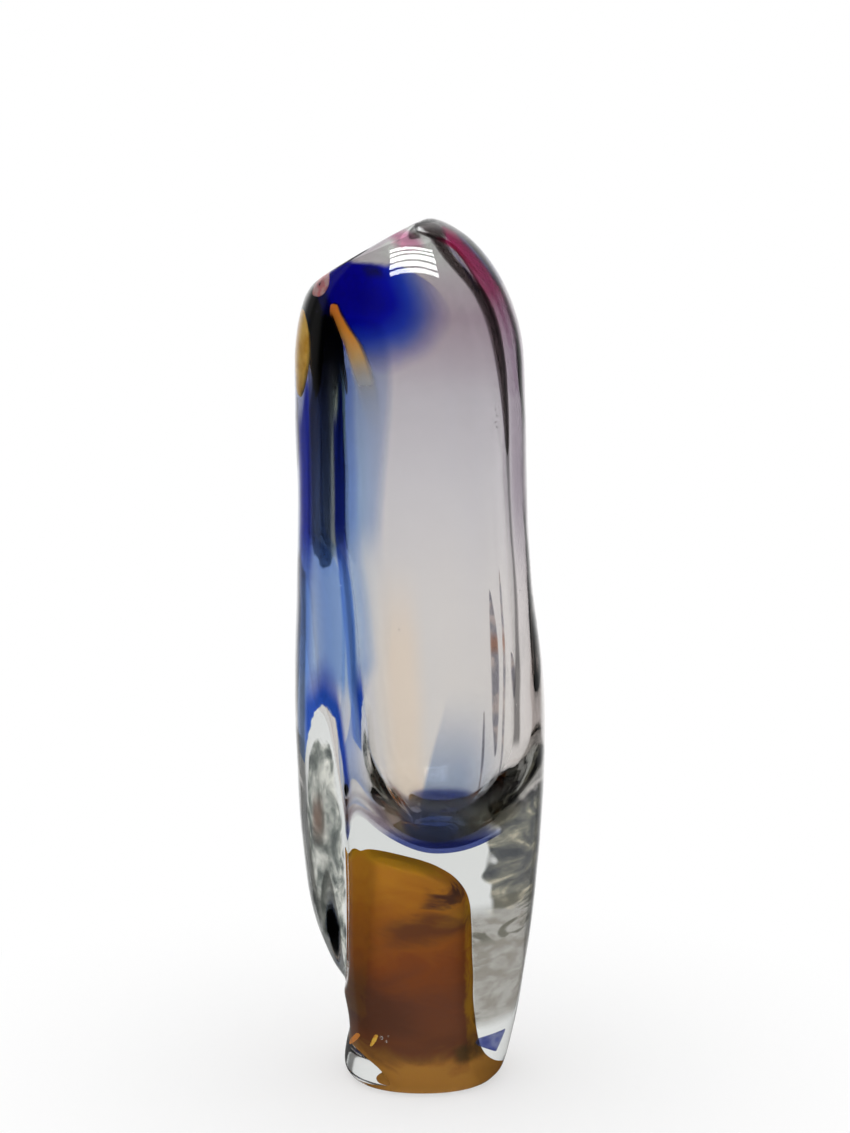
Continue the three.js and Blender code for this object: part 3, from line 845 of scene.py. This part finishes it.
lobe_reflection_veil = laid_colour("lobe_painted_reflection", [
    (118, -60, -53), (111, -66, -51), (102, -71, -49.5), (88, -75, -49), (72, -77, -51), (56, -76, -56),
    (43, -73, -61), (34, -69, -65),
], rows=56, around=24, thick=veil_wall, layer=veil_layer, skin=under_skin)
grey = glass_recipe("lobe_painted_reflection_glass")
across, along = grey.lay("X"), grey.lay("Y")
reflected_mottle = grey.clouds(120, 3, (1.6, 1.6, 0.55), 1)
fine = grey.clouds(420, 3, (1, 1, 0.6), 0.5)
# Painted reflection: these mottled greys stand in for the dim room seen by internal reflection.
shade = (reflected_mottle * 0.75 + fine * 0.25).colours([
    (0.36, (0.12, 0.13, 0.13)), (0.45, (0.3, 0.32, 0.3)), (0.52, (0.66, 0.66, 0.62)),
    (0.6, (0.98, 0.97, 0.91)),
])
core = abs(across - 0.45).fade(0.16, 0.04) * along.within(0.34, 0.46, 0.05)
shade = grey.mix(core * 0.8, shade, (0.2, 0.11, 0.08))
edge = (abs(across - 0.5) + (reflected_mottle - 0.5) * 0.5).fade(0.32, 0.42)
edge = edge.most((abs(along - 0.5) + (reflected_mottle - 0.5) * 0.3).fade(0.42, 0.5))
shade = grey.mix(edge, shade, no_tint)
laid_on(lobe_reflection_veil, None, grey.glass(shade))

# A painted reflection at the right of the foot: a veil between the last two gathers, ragged at its left
# edge. Its mottled olive-grey, with darker swirls across its middle, stands in for the dim patchy room bent
# and reflected inside the glass.
side_reflection_veil = laid_colour("side_painted_reflection", [
    (117, 50, 56), (112, 44, 70), (104, 38, 82), (92, 36, 86), (80, 34, 86), (68, 28, 84), (56, 23, 82),
    (44, 23, 82), (32, 24, 78), (24, 30, 74), (19, 42, 62),
], rows=64, around=24, thick=veil_wall, layer=deep_veil_layer, skin=under_skin)
moss = glass_recipe("side_painted_reflection_glass")
turn, tall = moss.turn(), moss.place("Z")
reflected_mottle = moss.clouds(62, 4, (0.8, 0.8, 1.5), 1.6)
fine = moss.clouds(260, 3, (0.7, 0.7, 1.9), 0.8)
# Painted reflection: the mottled olive-greys and the darker swirls stand in for the dim room seen in the
# glass.
shade = (reflected_mottle * 0.82 + fine * 0.18).colours([
    (0.38, (0.12, 0.125, 0.135)), (0.47, (0.21, 0.21, 0.2)), (0.55, (0.32, 0.31, 0.265)),
    (0.63, (0.62, 0.57, 0.46)),
])
low = moss.mix((reflected_mottle + fine * 0.3).fade(0.52, 0.76), (0.4, 0.37, 0.33), (0.56, 0.54, 0.51))
shade = moss.mix((tall + reflected_mottle * 12).fade(72, 66), shade, low)
bands = moss.clouds(48, 2, (0.6, 0.6, 2.4), 2.2)
swirl = (tall + (reflected_mottle - 0.5) * 14).within(51, 68, 3) * bands.fade(0.47, 0.56)
shade = moss.mix(swirl * 0.9, shade, (0.2, 0.19, 0.155))
ragged = (moss.clouds(130, 1) - 0.5) * 26
left_edge = turn + ragged * tall.fade(64, 72) - (90 - tall).most(0.0) * 0.08
edge = left_edge.fade(42, 38) * tall.fade(58, 66)
edge = edge.most((tall + ragged * 0.5).fade(99, 102)).most(turn.fade(31, 27))
edge = edge.most(tall.fade(26, 20.5))
shade = moss.mix(edge, shade, no_tint)
laid_on(side_reflection_veil, None, moss.glass(shade))

# Dark smoke: the dark glass of the band shows again in this veil under the skin at the left front.
# It is near-black above and slate below, where its end is torn.
dark_veil = laid_colour("dark_smoke", [
    (257, -64, -52), (253, -67, -46.5), (249, -66, -43), (245, -65, -40), (240, -64.5, -38), (225, -64, -38),
    (205, -64.5, -38.8), (192, -65, -39.3), (183, -64.5, -40), (177, -62, -41), (172, -58, -44),
    (169, -54, -48),
], rows=64, around=24, thick=veil_wall, layer=veil_layer, skin=under_skin)
soot = glass_recipe("dark_smoke_glass")
turn, tall = soot.turn(), soot.place("Z")
shade = ((tall - 170) / 90).colours([
    (0.0, (0.2, 0.25, 0.31)), (0.3, (0.13, 0.18, 0.28)), (0.6, (0.07, 0.09, 0.16)),
    (0.82, (0.05, 0.05, 0.07)),
])
ragged = (soot.clouds(230, 3) - 0.5) * 6
ends = 176.5 + turn.fade(-50, -42) * 5 - turn.within(-57, -48, 3) * 4
gone = (tall + ragged).fade(ends + 0.4, ends - 0.4)
left = turn - tall.fade(220, 232) * 3
gone = gone.most(left.fade(-62.5, -65)).most((tall + ragged).fade(249.5, 253))
paler = turn.fade(-51, -43) * tall.fade(240, 222)
shade = soot.mix(paler, shade, soot.mix(tall.fade(180, 225), (0.84, 0.86, 0.66), (0.78, 0.86, 0.54)))
shade = soot.mix(gone, shade, no_tint)
laid_on(dark_veil, None, soot.glass(shade))

# The side blue: a thin blue veil under the skin at the left edge. It is deep above and pale half
# way down, and comes to a deep, ragged point round the clear opening over the lobe.
blue_veil = laid_colour("side_blue", [
    (238, -84, -66), (230, -89, -58), (215, -90, -50), (195, -90, -42), (170, -90, -37), (150, -90, -35.5),
    (135, -90, -35), (122, -88, -33), (112, -78, -31), (104, -60, -31), (97, -44, -32),
], rows=72, around=36, thick=veil_wall, layer=blue_layer, skin=under_skin)
deep_sea = glass_recipe("side_blue_glass")
turn, tall = deep_sea.turn(), deep_sea.place("Z")
streaks = deep_sea.clouds(70, 3, (1, 1, 0.12)) - 0.5
strip = (turn + streaks * 8).fade(-58, -66) * turn.fade(-80.5, -76)
strip = strip * (tall + streaks * 12 + turn.fade(-64, -72) * 10).fade(234, 224)
tint = deep_sea.mix(tall.fade(185, 160), (0.04, 0.06, 0.48), (0.36, 0.53, 0.93))
shade = deep_sea.mix(strip, no_tint, tint)
leg = turn + (tall - 118) * 0.17
tip = (tall + streaks * 10 + abs(turn + 51) * 0.5).fade(148, 132)
tip = tip * leg.fade(-38.5, -42) * turn.fade(-71, -64)
shade = deep_sea.mix(tip, shade, (0.03, 0.11, 0.6))
torn = (deep_sea.clouds(300, 3) - 0.5) * 5
opening = 128.5 - (turn + 52.5) * (turn + 52.5) * 0.075
gone = (tall + torn).fade(opening + 0.5, opening - 0.3)
gone = gone * (leg + torn * 0.4).fade(-44.2, -45.0)
gone = gone.most((tall + torn * 2).fade(106, 99))
shade = deep_sea.mix(gone, shade, no_tint)
laid_on(blue_veil, None, deep_sea.glass(shade))

# Two painted reflections, orange and yellow: thin slivers near the skin at the left of the foot, coloured
# as the orange and yellow flares that are reflected inside the glass there.
flare_wall, flare_layer = 0.0004, 0.0012
orange_edges = [(17.5, -60, -55), (15, -67, -60), (12.5, -74, -67), (10.5, -77, -74)]
yellow_edges = [(19.5, -41, -38), (17, -44, -40.5), (14.5, -46.5, -44.5)]
for name, edges, tint in (
    ("orange_flare_reflection", orange_edges, (0.95, 0.34, 0.03)),
    ("yellow_flare_reflection", yellow_edges, (0.95, 0.62, 0.1)),
):
    flare_piece = laid_colour(name, edges, rows=16, around=16, thick=flare_wall, layer=flare_layer, skin=under_skin)
    hot = glass_recipe(name + "_glass")
    # Painted reflection: the mottled orange and yellow stand in for the flares reflected in the foot.
    shade = hot.mix(hot.clouds(500).fade(0.4, 0.6), tint, (0.8, 0.3, 0.05))
    laid_on(flare_piece, None, hot.glass(shade, clear=0.2))

# Seeds: tiny gas bubbles caught between the gathers. Most lie scattered over the lining's colours,
# a few larger ones up the right side, and three in the foot.
scattered, scatter_turn, scatter_heights = 46, 75, (0.125, 0.252)
scatter_layers, scatter_sizes = (0.0006, 0.0036), (0.00013, 0.0003)
plain_seeds = [
    (0.247, 40), (0.241, 66), (0.236, 60), (0.222, 47), (0.220, 47.6), (0.218, 46.6), (0.2165, 47.4),
]
plain_size, plain_layer = 0.00035, 0.001
foot_seeds = [(0.0185, -36.5, 0.0007), (0.0175, -33, 0.0005), (0.0195, -31, 0.00035)]
foot_layer = 0.002
over_colours = on_lining + colour_wall
random.seed(41)
seeds = bmesh.new()


def seed(radius, at, fineness=2):
    """Adds one round bubble."""
    made = bmesh.ops.create_icosphere(seeds, subdivisions=fineness, radius=radius)
    bmesh.ops.translate(seeds, verts=made["verts"], vec=at)


for _ in range(scattered):
    turn = random.uniform(-scatter_turn, scatter_turn)
    z = random.uniform(*scatter_heights)
    at = on_chamber(z, turn, over_colours + random.uniform(*scatter_layers))
    seed(random.uniform(*scatter_sizes), at, fineness=1)
for z, turn in plain_seeds:
    seed(plain_size, on_chamber(z, turn, over_colours + plain_layer))
for z, turn, radius in foot_seeds:
    seed(radius, under_skin(z, turn, foot_layer))
air = glass_recipe("seed_air").glass(no_tint, bends=1.5)
laid_on(placed("air_seeds", seeds), None, air)


# The studio: white paper behind the vase, with a dark flag at each side of it, as a glass
# photographer sets them to draw the edges of clear glass. In front is a dim room.
def studio_seen(recipe, way, patches, flagged=1.0):
    """How bright the studio is in a direction. Light that falls on a matt thing is plain and even."""
    flat = recipe.node("VectorMath", {"operation": "MULTIPLY"}, {0: way, 1: (1.0, 1.0, 0.0)})
    flat = recipe.node("VectorMath", {"operation": "NORMALIZE"}, {0: flat})
    x, y = (recipe.node("SeparateXYZ", values={0: flat}, out=axis) for axis in "XY")
    depths = (recipe.node("LightPath", out=kind + " Depth") for kind in ("Transmission", "Diffuse"))
    inside, soft = (depth.fade(0.2, 0.8) for depth in depths)
    behind = y.fade(-0.05, 0.15)
    flags = (x.within(0.8, 0.95, 0.03) * 0.7 + x.within(-0.93, -0.85, 0.03) * 0.45) * flagged
    dim = (1 - inside) * abs(x).fade(0.35, 0.75) * 0.85
    seen = (behind + (1 - behind) * (0.06 + (patches + 0.28) * inside)) * (1 - flags * behind) * (1 - dim)
    return soft + seen * (1 - soft)


# The table is a plain pale sheet. Near the vase it is matt and takes its shadow, and further off it
# is as white as the paper behind.
table_half, table_gap = 6.0, 0.0002
sheet = bmesh.new()
bmesh.ops.create_grid(sheet, x_segments=1, y_segments=1, size=table_half)
bmesh.ops.translate(sheet, verts=sheet.verts, vec=(0.0, 0.0, -table_gap))
floor = placed("floor", sheet, smooth=False)
table = glass_recipe("table_white")
spot = table.node("TexCoord", out="Object")
far = table.node("VectorMath", {"operation": "LENGTH"}, {0: spot}, out="Value")
camera_ray = table.node("LightPath", out="Is Camera Ray")
near = studio_seen(table, spot, far.fade(0.3, 0.12) * 0.55, far.fade(0.22, 0.42))
matt = table.node("BsdfDiffuse", values={"Color": (0.96, 0.96, 0.96, 1.0)})
white = table.node("Emission", values={"Strength": camera_ray + near * (1 - camera_ray)})
lit = (1 - camera_ray).most(far.fade(0.05, 0.2) * 0.6 + 0.4)
floor.data.materials.append(table.finish(table.node("MixShader", values={0: lit, 1: matt, 2: white})))

# The room round the table: bright paper behind, and a dim wall with a few lit patches in front, that
# the glass bends into view.
world = bpy.data.worlds.new("room")
scene.world = world
room = Recipe(world)
camera_ray = room.node("LightPath", out="Is Camera Ray")
way = room.node("TexCoord", out="Generated")
patches = room.node("TexNoise", values={"Vector": way, "Scale": 5.0, "Detail": 3.0})
seen = studio_seen(room, way, patches.fade(0.5, 0.64) * 0.6)
white = camera_ray + seen * (1 - camera_ray)
room.finish(room.node("Background", values={"Color": (1.0, 1.0, 1.0, 1.0), "Strength": white}), "World")

# Daylight from a barred window, high in front. Only the glass shows it, as a bright reflection with
# four dark bars.
window_size, window_away, window_light = (0.92, 0.6), 1.2, 20
window_from = Vector((0.0, -0.025, 0.268))
window_way = Vector((0.105, -0.593, 0.799))
bar_places, bar_edge, bar_core = (0.17, 0.4, 0.66, 0.84), 0.040, 0.026
pane = bmesh.new()
bmesh.ops.create_grid(pane, x_segments=1, y_segments=1, size=0.5)
bmesh.ops.scale(pane, vec=(*window_size, 1.0), verts=pane.verts)
window = placed("window", pane, smooth=False)
window.location = window_from + window_way * window_away
window.rotation_euler = window_way.to_track_quat("Z", "Y").to_euler()
window.visible_camera = window.visible_diffuse = window.visible_shadow = False
daylight = glass_recipe("daylight")
up = daylight.place("Y") / (window_size[1] * 1000) + 0.5
bars = [abs(up - place).fade(bar_edge, bar_core) for place in bar_places]
barred = bars[0]
for bar in bars[1:]:
    barred = barred.most(bar)
light = daylight.node("Emission", values={"Strength": window_light - barred * window_light})
window.data.materials.append(daylight.finish(light))

# The camera, where the photographer held it: a little above the vase and looking down on it. Its lens
# is worked out from the photo's height and focal length in pixels.
photo_height, photo_focal = 1133, 2360
camera_data = bpy.data.cameras.new("camera")
camera_data.sensor_fit = "VERTICAL"
camera_data.sensor_height = 36
camera_data.lens = camera_data.sensor_height * photo_focal / photo_height
camera = bpy.data.objects.new("camera", camera_data)
scene.collection.objects.link(camera)
camera.location = (0.00033, -0.750, 0.292)
camera.rotation_euler = (math.radians(90 - 9.3), 0, 0)
scene.camera = camera
scene.view_settings.view_transform = "Standard"
scene.cycles.max_bounces = 28
scene.cycles.transmission_bounces = 28
scene.cycles.glossy_bounces = 12
scene.cycles.transparent_max_bounces = 12
scene.cycles.sample_clamp_indirect = 6.0
